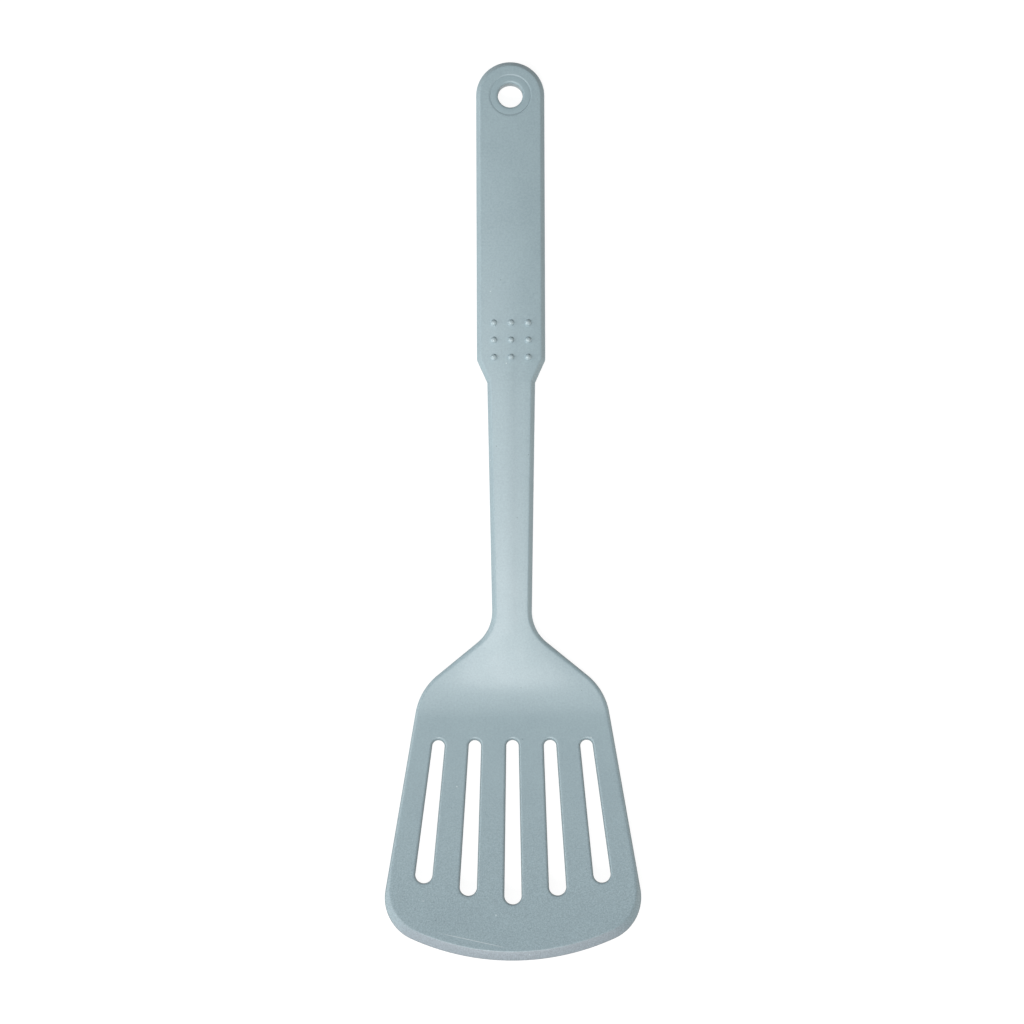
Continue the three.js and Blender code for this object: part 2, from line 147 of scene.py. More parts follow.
knots = blade_knots + handle_knots
knot_places = np.array([knot[0] for knot in knots], float)
knot_slopes = np.array([knot[1] for knot in knots])
knot_steps = np.diff(knot_places) * (knot_slopes[1:] + knot_slopes[:-1]) / 2
knot_heights = np.concatenate([[0], np.cumsum(knot_steps)])
knot_heights += mouth.z + MOUTH_LIFT + bow_start * ease_run - knot_heights[-2]


def middle_height(along):
    """Height of the middle of the plastic above the table, for an array of places along the object."""
    place = np.clip(np.searchsorted(knot_places, along) - 1, 0, len(knot_places) - 2)
    run = along - knot_places[place]
    bend = (knot_slopes[place + 1] - knot_slopes[place]) / (knot_places[place + 1] - knot_places[place])
    return knot_heights[place] + knot_slopes[place] * run + bend * run * run / 2


print("lip, heel and mouth heights in mm:", middle_height(np.array([0, HEEL, MOUTH_ALONG])).round(2))

# %% [markdown]
# ## Thickness
# The blade is thin and even, and the neck thickens towards the handle, where it has more to carry. A
# Solidify modifier gives one thickness all over. Here it is a formula of the place along the object
# instead.

# %% Thickness
BLADE_THICKNESS = 2.6
NECK_FOOT_THICKNESS = 5.4
HANDLE_THICKNESS = 7


def ease(start, end, value):
    """0 before the start, 1 after the end, and a smooth step between them."""
    share = np.clip((value - start) / (end - start), 0, 1)
    return share * share * (3 - 2 * share)


def thickness(along):
    foot = (NECK_FOOT_THICKNESS - BLADE_THICKNESS) * ease(BEND_START, NECK_STEEP, along)
    up_neck = np.clip((along - NECK_STEEP) / (MOUTH_ALONG - NECK_STEEP), 0, 1)
    return BLADE_THICKNESS + foot + (HANDLE_THICKNESS - NECK_FOOT_THICKNESS) * up_neck


print("lip, heel and mouth thickness in mm:", thickness(np.array([0, HEEL, MOUTH_ALONG])).round(2))

# %% [markdown]
# ## Crown and sink
# The upper face of the neck and of the handle is crowned: it falls a little towards both sides, as
# mouldings do to feel soft in the hand, and so one side catches the light before the other. Round the
# eyelet it is nearly flat. Thick nylon shrinks as it cools, which leaves a faint sink along the middle
# of the neck. Sculpting could do this by hand. A formula for each skin does it for any point, and makes
# the neck and the handle meet in the same section at the joint.

# %% Crown of the upper face
NECK_CROWN_RADIUS = 70
HANDLE_CROWN_RADIUS = 110
CROWN_START = 90
CROWN_FULL = 125
CROWN_POWER = 1.5
CROWN_EASE = 24
CROWN_FADE = (276, 302)
CROWN_FADE_SHARE = 0.7
SINK_DEPTH = 0.06
SINK_WIDTH = 3


def crown(x, along):
    """How far the upper skin falls at a distance from the middle line."""
    on_handle = ease(MOUTH_ALONG - CROWN_EASE, MOUTH_ALONG + CROWN_EASE, along)
    curve = (1 - on_handle) / NECK_CROWN_RADIUS + on_handle / HANDLE_CROWN_RADIUS
    curve = curve * (1 - CROWN_FADE_SHARE * ease(*CROWN_FADE, along))
    sink = SINK_DEPTH * (1 - on_handle) * np.exp(-((x / SINK_WIDTH) ** 2))
    return ease(CROWN_START, CROWN_FULL, along) ** CROWN_POWER * (curve * x * x / 2 + sink)


print("fall at the side of the mouth in mm:", round(float(crown(HANDLE_WIDTH / 2, MOUTH_ALONG)), 2))

# %% Upper and lower skins
BACK_EASE = 20


def blade_skins(x, along):
    middle = middle_height(along)
    half = thickness(along) / 2
    return middle + half - crown(x, along), middle - half


def handle_bend(place):
    """Height of the handle's middle over a straight line, at a distance from the mouth."""
    along = MOUTH_ALONG + place * math.cos(handle_tilt)
    return (middle_height(along) - mouth.z - handle_slope * (along - MOUTH_ALONG)) * math.cos(handle_tilt)


def handle_skins(x, place):
    """The same skins in the handle's own frame. The back of the handle is flat."""
    along = MOUTH_ALONG + place * math.cos(handle_tilt)
    bend = handle_bend(place)
    half = HANDLE_THICKNESS / 2
    return bend + half - crown(x, along), bend * (1 - ease(0, BACK_EASE, place)) - half


print("bow of the handle in mm:", handle_bend(np.array([0, HANDLE_LENGTH / 2, HANDLE_LENGTH])).round(2))

# %% [markdown]
# ## Plan of the blade
# Seen from above, the blade is straight lines joined by arcs: the neck, a fillet, the shoulder, a
# rounded corner, the leaning side, the lip's corner and the long arc of the lip. It could be traced as
# points, which would hide that. So each corner is given by its radius, and the points are worked out
# from it.

# %% Arcs and corners
PLAN_STEP = 0.9
ARC_STEP = math.radians(6)
FEWEST_STEPS = 3


def arc(centre, radius, start, end):
    """Points on an arc between two angles, close enough to look round."""
    sweep = abs(end - start)
    count = max(FEWEST_STEPS, math.ceil(sweep * radius / PLAN_STEP), math.ceil(sweep / ARC_STEP))
    turns = [start + (end - start) * step / count for step in range(count + 1)]
    x, y = centre
    return [Vector((x + radius * math.cos(turn), y + radius * math.sin(turn))) for turn in turns]


def corner(before, at, after, radius):
    """Arc that rounds the corner between two straight lines."""
    back = (before - at).normalized()
    ahead = (after - at).normalized()
    half = back.angle(ahead) / 2
    start = at + back * (radius / math.tan(half))
    centre = at + (back + ahead).normalized() * (radius / math.sin(half))
    first = math.atan2(start.y - centre.y, start.x - centre.x)
    sweep = math.pi - 2 * half
    turn = sweep if back.cross(ahead) < 0 else -sweep
    return arc(centre, radius, first, first + turn)


disc = np.array([point[:] for point in arc((0, 0), HANDLE_WIDTH / 2, 0, 2 * math.pi)[:-1]])
print("a disc as wide as the handle has", len(disc), "points round it")

# %% Points along straight lines
TINY = 1e-6


def spread(points):
    """Fills long straight steps with points."""
    out = [points[0]]
    for point in points[1:]:
        start = out[-1]
        parts = max(1, math.ceil((point - start).length / PLAN_STEP))
        if (point - start).length > TINY:
            out.extend(start.lerp(point, part / parts) for part in range(1, parts + 1))
    return out


def mirrored(points):
    return [Vector((-point.x, point.y)) for point in points]


middle_line = spread([Vector((0, 0)), Vector((0, HANDLE_LENGTH))])
print("a line as long as the handle has", len(middle_line), "points")

# %% Outline of the blade
BLADE_WIDTH = 91.3
LIP_RADIUS = 88
LIP_CORNER_RADIUS = 16
SIDE_LEAN = math.radians(9.8)
SHOULDER_ANGLE = math.radians(50.8)
SHOULDER_CORNER_RADIUS = 22
NECK_FILLET_RADIUS = 14.3
NECK_FOOT_ALONG = 117.5
NECK_FOOT_WIDTH = 13.92
NECK_TOP_WIDTH = 17


def blade_outline():
    """Half of the outline from the mouth to the lip, then the other half back to the mouth."""
    neck_top = Vector((NECK_TOP_WIDTH / 2, MOUTH_ALONG))
    neck_foot = Vector((NECK_FOOT_WIDTH / 2, NECK_FOOT_ALONG))
    corner_x = BLADE_WIDTH / 2 - LIP_CORNER_RADIUS
    corner_y = LIP_RADIUS - math.sqrt((LIP_RADIUS - LIP_CORNER_RADIUS) ** 2 - corner_x**2)
    outward = Vector((math.cos(SIDE_LEAN), math.sin(SIDE_LEAN)))
    side_foot = Vector((corner_x, corner_y)) + outward * LIP_CORNER_RADIUS
    rate = math.tan(SHOULDER_ANGLE)
    lean = math.tan(SIDE_LEAN)
    drop = (side_foot.x - neck_foot.x + lean * (side_foot.y - neck_foot.y)) / (rate - lean)
    shoulder = neck_foot + Vector((rate * drop, -drop))
    lip_angle = math.atan2(corner_y - LIP_RADIUS, corner_x)
    half = [neck_top]
    half += corner(neck_top, neck_foot, shoulder, NECK_FILLET_RADIUS)
    half += corner(neck_foot, shoulder, side_foot, SHOULDER_CORNER_RADIUS)
    half += arc((corner_x, corner_y), LIP_CORNER_RADIUS, SIDE_LEAN, lip_angle)
    half += arc((0, LIP_RADIUS), LIP_RADIUS, lip_angle, -math.pi / 2)
    half = spread(half)
    return mirrored(half[:-1]) + half[::-1]


outline = blade_outline()
print("blade outline:", len(outline), "points")

# %% [markdown]
# ## Slots
# Five slots with round ends fan out over the blade and get wider towards the lip. They could be cut with
# a Boolean modifier, but their rims need rows of points of their own. So each is a path: two circles and
# the lines that touch both, placed by three numbers. The points run clockwise, which puts the plastic on
# the left of the path, the same as on the outline.

# %% Outlines of the slots
SLOT_TOP_ALONG = 78.55
SLOT_TOP_RADIUS = 2.2
SLOT_FOOT_RADIUS = 3.05
# Distance of the top and of the foot from the middle line, and the foot's place along the object.
SLOTS = [
    (0, 0, 20.1),
    (13.4, 15.9, 23.2),
    (-13.4, -15.9, 23.2),
    (26.4, 31.7, 27.7),
    (-26.4, -31.7, 27.7),
]


def slot_outline(top_x, foot_x, foot_along):
    top = Vector((top_x, SLOT_TOP_ALONG - SLOT_TOP_RADIUS))
    foot = Vector((foot_x, foot_along + SLOT_FOOT_RADIUS))
    axis = top - foot
    heading = math.atan2(axis.y, axis.x)
    touch = math.acos((SLOT_FOOT_RADIUS - SLOT_TOP_RADIUS) / axis.length)
    path = arc(top, SLOT_TOP_RADIUS, heading + touch, heading - touch)
    path += arc(foot, SLOT_FOOT_RADIUS, heading - touch, heading + touch - 2 * math.pi)
    return spread(path + path[:1])[:-1]


slots = [slot_outline(*sizes) for sizes in SLOTS]
print("slot outlines:", [len(slot) for slot in slots], "points")

# %% [markdown]
# ## Edges of a plate
# The blade and the handle are both plates with an outline, holes, an upper and a lower skin and shaped
# edges. A Bevel modifier would do for even edges, but the lip's bevel changes width along the outline.
# So an edge is drawn as rows of points that run round a path, from the upper face over the edge to the
# lower face. Each row has its own inset from the path and its own drop from the skin. The creases are
# rounded a little, as they are in any steel mould, and each then catches a fine line of light.

# %% Sections of an edge
# Extra inset of the first row, so that the rounding of the crease stays off the face.
GUARD = 0.25
EASE_STEPS = 6
# A rounding takes up no more than this share of the lines that meet in it.
EDGE_REACH = 0.45
FAR = 10


def eased(before, at, after):
    """A small rounding of the corner at, from the point before it to the point after it."""
    steps = [step / (EASE_STEPS - 1) for step in range(EASE_STEPS)]
    return [before * (1 - t) ** 2 + at * 2 * t * (1 - t) + after * t * t for t in steps]


def edge_section(corners, soft):
    """(inset, drop) rows from the face to the wall, over corners with soft creases."""
    points = [Vector((FAR, 0)), *[Vector(corner) for corner in corners], Vector((0, FAR))]
    rows = [points[1] + Vector((soft + GUARD, 0))]
    for before, at, after in zip(points, points[1:], points[2:]):
        back, ahead = before - at, after - at
        reach = min(soft, EDGE_REACH * back.length, EDGE_REACH * ahead.length)
        rows += eased(at + back.normalized() * reach, at, at + ahead.normalized() * reach)
    return rows


def chamfer_section(width, drop, soft):
    return edge_section([(width, 0), (0, drop)], soft)


def both_edges(upper, lower):
    """Rows over a whole edge: (inset, drop, 1) from the upper skin, (inset, drop, -1) from the lower."""
    return [(*row, 1) for row in upper] + [(*row, -1) for row in reversed(lower)]


print("rows over a chamfer:", len(chamfer_section(1, 1, GUARD)))

# %% Way into the plastic
def inward(points, closed):
    """Unit vectors from a path into the plastic on its left."""
    array = np.array([point[:] for point in points])
    ahead = np.roll(array, -1, 0)
    back = np.roll(array, 1, 0)
    if not closed:
        ahead[-1] = array[-1]
        back[0] = array[0]
    along = ahead - back
    along /= np.linalg.norm(along, axis=1)[:, None]
    return np.stack([-along[:, 1], along[:, 0]], 1)


print("way into the plastic at the middle of the lip:", inward(outline, False)[len(outline) // 2].round(2))

# %% Rows of points round a path
def row_heights(flat, drop, side, skins):
    upper, lower = skins(flat[:, 0], flat[:, 1])
    return np.where(side > 0, upper - drop, lower + drop)


def edge_rows(points, rows, closed, skins, cut):
    """Points of each row. On an open path, both ends of a row slide to the plane of the joint."""
    base = np.array([point[:] for point in points])
    normal = inward(points, closed)
    placed = []
    for inset, drop, side in np.array(rows).transpose(1, 2, 0):
        flat = base + normal * inset[:, None]
        height = row_heights(flat, drop, side, skins)
        if not closed:
            for end in (0, -1):
                heading = np.array([normal[end, 1], -normal[end, 0]])
                flat[end] += heading * (cut(height[end]) - flat[end, 1]) / heading[1]
            height = row_heights(flat, drop, side, skins)
        placed.append(np.column_stack([flat, height]))
    return np.array(placed)


# %% Faces between the rows
def edge_faces(numbers, closed):
    """Four-sided faces between each row and the next, from the numbers of their points."""
    faces = []
    for above, below in zip(numbers, numbers[1:]):
        for step in range(len(above) if closed else len(above) - 1):
            after = (step + 1) % len(above)
            faces.append([above[step], below[step], below[after], above[after]])
    return faces


# %% [markdown]
# ## Faces of a plate
# The upper and the lower face are wide and gently curved. One large polygon would shade badly over such
# a curve. A grid would not fit the round rims. So each face is a field of points that follows the skin,
# joined to the rims by a Delaunay fill, which comes with Blender and keeps the triangles as even as it
# can.

# %% Points over a face
FACE_STEP = 2.2
# Points of the field keep this share of a step away from the rims.
RIM_CLEARANCE = 0.5


def inside(points, polygon):
    """Which points lie inside a closed polygon."""
    x, y = points[:, :1], points[:, 1:]
    ax, ay = polygon[:, 0], polygon[:, 1]
    bx, by = np.roll(ax, -1), np.roll(ay, -1)
    spans = (ay > y) != (by > y)
    rise = np.where(by == ay, 1, by - ay)
    crossings = spans & (x < ax + (y - ay) * (bx - ax) / rise)
    return crossings.sum(1) % 2 == 1


def on_face(points, rims):
    """Which points lie inside the first rim and outside the others."""
    keep = inside(points, rims[0])
    for rim in rims[1:]:
        keep &= ~inside(points, rim)
    return keep


def face_field(rims):
    """Points on a triangular grid over a face, clear of its rims."""
    low, high = rims[0].min(0), rims[0].max(0)
    shift = FACE_STEP / 4
    lines = np.arange(low[1], high[1], FACE_STEP * math.sqrt(0.75))
    half = np.arange(shift, high[0] + FACE_STEP, FACE_STEP)
    across = np.concatenate([-half[::-1], half])
    grid = np.array([(x - shift * (-1) ** count, y) for count, y in enumerate(lines) for x in across])
    grid = grid[on_face(grid, rims)]
    edge = np.concatenate(rims)
    clear = [np.min(np.hypot(*(edge - point).T)) > FACE_STEP * RIM_CLEARANCE for point in grid]
    return grid[np.array(clear)]


disc_field = face_field([disc])
print("field over the disc:", len(disc_field), "points")

# %% Triangles over a face
FILL_INSIDE = 1
FILL_MERGE = 1e-7


def fill(rims, field):
    """Triangles over the field inside the rims. They number the rims' points first, then the field's."""
    edges = []
    for rim in rims:
        start = len(edges)
        edges += [(start + step, start + (step + 1) % len(rim)) for step in range(len(rim))]
    points = np.concatenate([*rims, field])
    flat = [Vector(point) for point in points]
    _, _, triangles, origins, _, _ = delaunay_2d_cdt(flat, edges, [], FILL_INSIDE, FILL_MERGE)
    triangles = np.array([[origins[corner][0] for corner in triangle] for triangle in triangles])
    return triangles[on_face(points[triangles].mean(1), rims)]


print("triangles over the disc:", len(fill([disc], disc_field)))

# %% [markdown]
# ## Joint and whole plate
# Neck and handle meet in a plane, so both outlines are open there. A Boolean cut would leave long thin
# triangles. Instead, a line of points across the joint follows each skin and closes the rim of the face,
# and the end is closed by one face between each row and the next. Rows, joint and faces make one closed
# mesh.

# %% Joint of a plate
# The plane leans, so the place of a point and its height are worked out in turn.
JOINT_ROUNDS = 2


def joint_edge(start, end, side, skins, cut):
    """Points across the joint, from one end of an open row to the other, that follow the skin."""
    parts = math.ceil(abs(end[0] - start[0]) / PLAN_STEP)
    x = np.linspace(start[0], end[0], parts + 1)[1:-1]
    place = x * 0 + start[1]
    for _ in range(JOINT_ROUNDS):
        place = x * 0 + cut(skins(x, place)[side])
    return np.column_stack([x, place, skins(x, place)[side]])


def joint_faces(numbers, upper_edge, lower_edge):
    """Faces that close the end of a plate, from its upper edge to its lower one."""
    faces = []
    for row, (above, below) in enumerate(zip(numbers, numbers[1:])):
        upper = upper_edge[::-1] if row == 0 else []
        lower = lower_edge if row == len(numbers) - 2 else []
        faces.append([above[0], *upper, above[-1], below[-1], *lower, below[0]])
    return faces


level_edge = joint_edge((0, 0), (NECK_TOP_WIDTH, 0), 0, handle_skins, lambda height: 0)
print("points across the joint:", len(level_edge))

# %% Mesh of a piece
SHARP_ANGLE = math.radians(50)


def solid_mesh(name, vertices, faces, place):
    """Object from points in millimetres, set in place, smooth except at hard corners."""
    mesh = bpy.data.meshes.new(name)
    mesh.from_pydata(vertices, [], faces)
    mesh.transform(Matrix.Scale(MM, 4) @ place)
    mesh.shade_smooth()
    mesh.set_sharp_from_angle(angle=SHARP_ANGLE)
    made = bpy.data.objects.new(name, mesh)
    bpy.context.scene.collection.objects.link(made)
    print(name, "has", len(mesh.vertices), "points and", len(mesh.polygons), "faces")
    return made


# %% Mesh of a plate
def plate_mesh(name, paths, skins, place, cut):
    """Mesh of a plate. A path is (points, rows for each point, closed), and the first path is the outline.
    The outline is open at the joint, where cut gives the place of the end face for a height."""
    vertices = []
    faces = []
    rims = ([], [])
    rim_numbers = ([], [])
    for points, rows, closed in paths:
        placed = edge_rows(points, rows, closed, skins, cut)
        numbers = len(vertices) + np.arange(placed[..., 0].size).reshape(placed.shape[:2])
        vertices += placed.reshape(-1, 3).tolist()
        faces += edge_faces(numbers, closed)
        joints = []
        for side, rim in enumerate((placed[0], placed[-1])):
            joint = np.empty((0, 3)) if closed else joint_edge(rim[-1], rim[0], side, skins, cut)
            joints.append(len(vertices) + np.arange(len(joint)))
            vertices += joint.tolist()
            rims[side].append(np.concatenate([rim, joint])[:, :2])
            rim_numbers[side].append(np.concatenate([numbers[-side], joints[side]]))
        if not closed:
            faces += joint_faces(numbers, *joints)
    for side in (0, 1):
        field = face_field(rims[side])
        numbers = np.concatenate([*rim_numbers[side], len(vertices) + np.arange(len(field))])
        heights = skins(field[:, 0], field[:, 1])[side]
        vertices += np.column_stack([field, heights]).tolist()
        triangles = fill(rims[side], field)
        faces += numbers[triangles if side == 0 else triangles[:, ::-1]].tolist()
    return solid_mesh(name, vertices, faces, place)


# %% [markdown]
# ## Blade
# The blade and its neck are one moulding. The neck has a wide chamfer, the blade's sides only a narrow
# one, and the lip is bevelled down to a thin front so that it slides under food. The bevel fades out
# along the sides. A mesh for each zone would need seams, so one section changes along the outline by
# three shares that add up to one. The slots are cut square to the leaning blade, with a dished rim at
# the front and a small chamfer at the back.

# %% Edge of the blade
EDGE_CHAMFER = 1.4
EDGE_ANGLE = 45
BLADE_EDGE_CHAMFER = 0.9
BLADE_EDGE_ANGLE = 38
BLADE_BACK_CHAMFER = 0.5
LIP_BEVEL_WIDTH = 3.2
LIP_BEVEL_ANGLE = 29
LIP_BEVEL_FULL = 8
LIP_BEVEL_FADE = 35
CREASE = 0.3
BLADE_CREASE = 0.6
SHOULDER_START = 104
SHOULDER_END = 126


def blade_edge(point):
    """Rows over the blade's edge at a point of its outline."""
    on_neck = float(ease(SHOULDER_START, SHOULDER_END, point.y))
    on_lip = 1 - float(ease(LIP_BEVEL_FULL, LIP_BEVEL_FADE, point.y))
    shares = (on_neck, on_lip, 1 - on_neck - on_lip)
    width = np.dot(shares, (EDGE_CHAMFER, LIP_BEVEL_WIDTH, BLADE_EDGE_CHAMFER))
    angle = np.dot(shares, (EDGE_ANGLE, LIP_BEVEL_ANGLE, BLADE_EDGE_ANGLE))
    soft = np.dot(shares, (CREASE, CREASE, BLADE_CREASE))
    plain = np.dot(shares, (EDGE_CHAMFER, BLADE_BACK_CHAMFER, BLADE_BACK_CHAMFER))
    upper = chamfer_section(width, width * slope(angle), soft)
    lower = chamfer_section(plain, plain, CREASE)
    return both_edges(upper, lower)


outline_rows = [blade_edge(point) for point in outline]
print("rows over the blade's edge:", len(outline_rows[0]))

# %% Edge of a slot
SLOT_RIM = [(0.8, 0), (0.38, 0.2), (0, 0.95)]
SLOT_BACK_RIM = [(0.4, 0), (0, 0.4)]
SLOT_CREASE = 0.12


def slot_edge(normal):
    """Rows over a slot's edge. The slot is cut square to the blade, so its wall leans as the blade does."""
    lean = slope(BLADE_RISE) * normal[1]
    upper = [row - Vector((row.y * lean, 0)) for row in edge_section(SLOT_RIM, SLOT_CREASE)]
    back = edge_section(SLOT_BACK_RIM, SLOT_CREASE)
    lower = [row - Vector(((BLADE_THICKNESS - row.y) * lean, 0)) for row in back]
    return both_edges(upper, lower)


slot_rows = [[slot_edge(normal) for normal in inward(slot, True)] for slot in slots]
print("rows over a slot's edge:", len(slot_rows[0][0]))

# %% Blade mesh
JOINT_GAP = 0.02


def mouth_plane(height):
    """Where the neck ends, against the leaning mouth of the handle."""
    return MOUTH_ALONG + (height - mouth.z) * math.tan(handle_tilt) - JOINT_GAP


blade_paths = [(outline, outline_rows, False)]
blade_paths += [(slot, rows, True) for slot, rows in zip(slots, slot_rows)]
blade_place = Matrix.Translation((0, lip_y, 0))
blade = plate_mesh("spatula_blade", blade_paths, blade_skins, blade_place, mouth_plane)

# %% [markdown]
# ## Handle
# The handle is a plate with a flat back that widens from the mouth, runs straight and ends in a half
# circle. The eyelet sits in a stepped hole: a shallow round recess takes its flange, and a narrower hole
# goes right through. A Boolean could cut that step, but not with soft rims. So it is one more path, whose
# rows go down the recess, in over its ledge and out at the back.

# %% Outline of the handle
HANDLE_TAPER_LENGTH = 8
HANDLE_TAPER_ROUNDING = 2.5


def handle_outline():
    half = HANDLE_WIDTH / 2
    throat = Vector((NECK_TOP_WIDTH / 2, 0))
    wide = Vector((half, HANDLE_TAPER_LENGTH))
    side = [throat, *corner(throat, wide, Vector((half, eye_along)), HANDLE_TAPER_ROUNDING)]
    side = spread(side + arc((0, eye_along), half, 0, math.pi / 2))
    return side[:-1] + mirrored(side)[::-1]


handle_path = handle_outline()
handle_rows = both_edges(*[chamfer_section(EDGE_CHAMFER, EDGE_CHAMFER, CREASE)] * 2)
print("handle outline:", len(handle_path), "points")

# %% Recess for the eyelet
FLANGE_RADIUS = 7.15
FLANGE_THICKNESS = 0.8
FLANGE_SINK = 0.15
BARREL_RADIUS = 5.7
EYELET_GAP = 0.03
BARREL_GAP = 0.45
RECESS_SLOPE = 0.55
RECESS_SOFT = 0.03


def recess_rows():
    """Rows down the stepped hole, as insets from the recess's wall."""
    depth = FLANGE_SINK + FLANGE_THICKNESS + EYELET_GAP
    ledge = BARREL_RADIUS + BARREL_GAP - FLANGE_RADIUS - EYELET_GAP
    rim = chamfer_section(RECESS_SLOPE, FLANGE_SINK - RECESS_SOFT, RECESS_SOFT)
    upper = [*rim, Vector((0, depth)), Vector((ledge, depth))]
    lower = [row + Vector((ledge, 0)) for row in rim]
    return both_edges(upper, lower)


recess = arc((0, eye_along), FLANGE_RADIUS + EYELET_GAP, 2 * math.pi, 0)[:-1]
print("recess:", len(recess), "points round it")

# %% Handle mesh
handle_paths = [
    (handle_path, [handle_rows] * len(handle_path), False),
    (recess, [recess_rows()] * len(recess), True),
]
handle = plate_mesh("spatula_handle", handle_paths, handle_skins, handle_frame, lambda height: 0)

# %% [markdown]
# ## Hanging eyelet
# The eyelet is a flanged bush, a turned shape: a section swept round an axis. A Screw modifier does that
# too, but a short function also closes the ends and gives a mesh at once. The bore has a dished rim at
# the front and flares at the back. The handle's face leans a little where the eyelet sits, so the bush
# is turned with it, about the middle of its flange.

# %% Turned pieces
def turned_mesh(name, section, place, segments, closed):
    """Sweeps (radius, height) points round the z axis. An open section starts and ends on the axis."""
    vertices = []
    rings = []
    for radius, height in section:
        count = 1 if radius < TINY else segments
        rings.append(range(len(vertices), len(vertices) + count))
        for step in range(count):
            turn = 2 * math.pi * step / segments
            vertices.append((radius * math.cos(turn), radius * math.sin(turn), height))
    faces = []
    for lower, upper in zip(rings, rings[1:] + rings[:1] if closed else rings[1:]):
        for step in range(segments):
            after = (step + 1) % segments
            corners = [(lower, step), (lower, after), (upper, after), (upper, step)]
            quad = [ring[turn % len(ring)] for ring, turn in corners]
            faces.append(list(dict.fromkeys(quad)))
    return solid_mesh(name, vertices, faces, place)


# %% Section of the eyelet
BORE_RADIUS = 4.45
BORE_RIM = [(0.75, 0), (0.25, 0.15), (0, 0.5)]
BACK_FLARE = 0.4
BACK_FLARE_DEPTH = 3

eye_bend = handle_bend(np.array([eye_along - FLANGE_RADIUS, eye_along, eye_along + FLANGE_RADIUS]))
eyelet_top = HANDLE_THICKNESS / 2 - FLANGE_SINK
eyelet_foot = -HANDLE_THICKNESS / 2 + FLANGE_SINK - eye_bend[1]
flange_foot = eyelet_top - FLANGE_THICKNESS
eyelet_corners = [
    (BORE_RADIUS + BACK_FLARE, eyelet_foot),
    (BARREL_RADIUS, eyelet_foot),
    (BARREL_RADIUS, flange_foot),
    (FLANGE_RADIUS, flange_foot),
    (FLANGE_RADIUS, eyelet_top),
    *[(BORE_RADIUS + inset, eyelet_top - drop) for inset, drop in BORE_RIM],
    (BORE_RADIUS, eyelet_foot + BACK_FLARE_DEPTH),
]
print("eyelet is", round(eyelet_top - eyelet_foot, 2), "mm high")

# %% Eyelet mesh
EYELET_SOFT = 0.04
EYELET_SEGMENTS = 128
SECTION_REACH = 0.4


def soft_section(corners, soft):
    """Rounds each corner of a closed section by a small amount."""
    points = [Vector(point) for point in corners]
    out = []
    for before, at, after in zip(points[-1:] + points[:-1], points, points[1:] + points[:1]):
        back, ahead = before - at, after - at
        reach = min(soft, SECTION_REACH * back.length, SECTION_REACH * ahead.length)
        out += eased(at + back.normalized() * reach, at, at + ahead.normalized() * reach)
    return out


eye_turn = math.atan2(eye_bend[2] - eye_bend[0], 2 * FLANGE_RADIUS)
flange_middle = Matrix.Translation((0, 0, eyelet_top - FLANGE_THICKNESS / 2))
eyelet_lean = flange_middle @ Matrix.Rotation(eye_turn, 4, "X") @ flange_middle.inverted()
eyelet_place = handle_frame @ Matrix.Translation((0, eye_along, eye_bend[1])) @ eyelet_lean
eyelet_section = soft_section(eyelet_corners, EYELET_SOFT)
eyelet = turned_mesh("spatula_hanging_eyelet", eyelet_section, eyelet_place, EYELET_SEGMENTS, True)

# %% [markdown]
# ## Grip dots
# Nine small studs give the thumb a hold. Each has a domed top with a tiny mark where the mould was
# filled. A sphere would be too round at the foot and has no mark, so a dot is turned from a section like
# the eyelet. Each one is set on the crowned face at its own height.

# %% Grip dots
DOT_RADIUS = 1.15
DOT_HEIGHT = 1.15
DOT_MARK_RADIUS = 0.2
DOT_MARK_DEPTH = 0.05
DOT_FOOT = -0.05
DOT_PITCH = 6.1
DOT_FIELD_ALONG = 220.35
DOT_SEGMENTS = 40
DOT_STEPS = 9


def dot_section():
    """Section of a dot, from the middle of its foot over its dome to the mark in its top."""
    turns = np.linspace(0, math.acos(DOT_MARK_RADIUS / DOT_RADIUS), DOT_STEPS)
    dome = [(DOT_RADIUS * math.cos(turn), DOT_HEIGHT * math.sin(turn)) for turn in turns]
    return [(0, DOT_FOOT), (DOT_RADIUS, DOT_FOOT), *dome, (0, DOT_HEIGHT - DOT_MARK_DEPTH)]


dots = []
dot_middle = (DOT_FIELD_ALONG - MOUTH_ALONG) / math.cos(handle_tilt)
for row in (1, 0, -1):
    for column in (-1, 0, 1):
        x = column * DOT_PITCH
        y = dot_middle + row * DOT_PITCH
        upper, _ = handle_skins(np.array([x]), np.array([y]))
        place = handle_frame @ Matrix.Translation((x, y, float(upper[0])))
        name = f"spatula_grip_dot_{len(dots) + 1}"
        dots.append(turned_mesh(name, dot_section(), place, DOT_SEGMENTS, False))

# %% [markdown]
# ## Colours and nodes
# A material is a tree of nodes, which could be put together by hand in the shader editor. In a script,
# one small function adds any node, sets its options and fills its sockets, so a finish reads as a list
# of nodes. Colours are sRGB hex values, as a colour picker shows them, and are turned to the linear
# light that shaders work in.

# %% Colour and node helpers
def linear(code):
    """Linear colour from an sRGB hex value."""
    parts = [int(code[place:place + 2], 16) / 255 for place in (1, 3, 5)]
    return [part / 12.92 if part <= 0.04045 else ((part + 0.055) / 1.055) ** 2.4 for part in parts] + [1]


def add(tree, kind, inputs=None, **settings):
    """Adds a node, sets its options, and fills its sockets with values or with links from other nodes."""
    made = tree.nodes.new(kind)
    for name, value in settings.items():
        setattr(made, name, value)
    for name, value in (inputs or {}).items():
        if isinstance(value, bpy.types.Node):
            value = next(socket for socket in value.outputs if socket.enabled)
        if isinstance(value, bpy.types.NodeSocket):
            tree.links.new(value, made.inputs[name])
        else:
            made.inputs[name].default_value = value
    return made


print("middle grey in linear light:", round(linear("#808080")[0], 3))

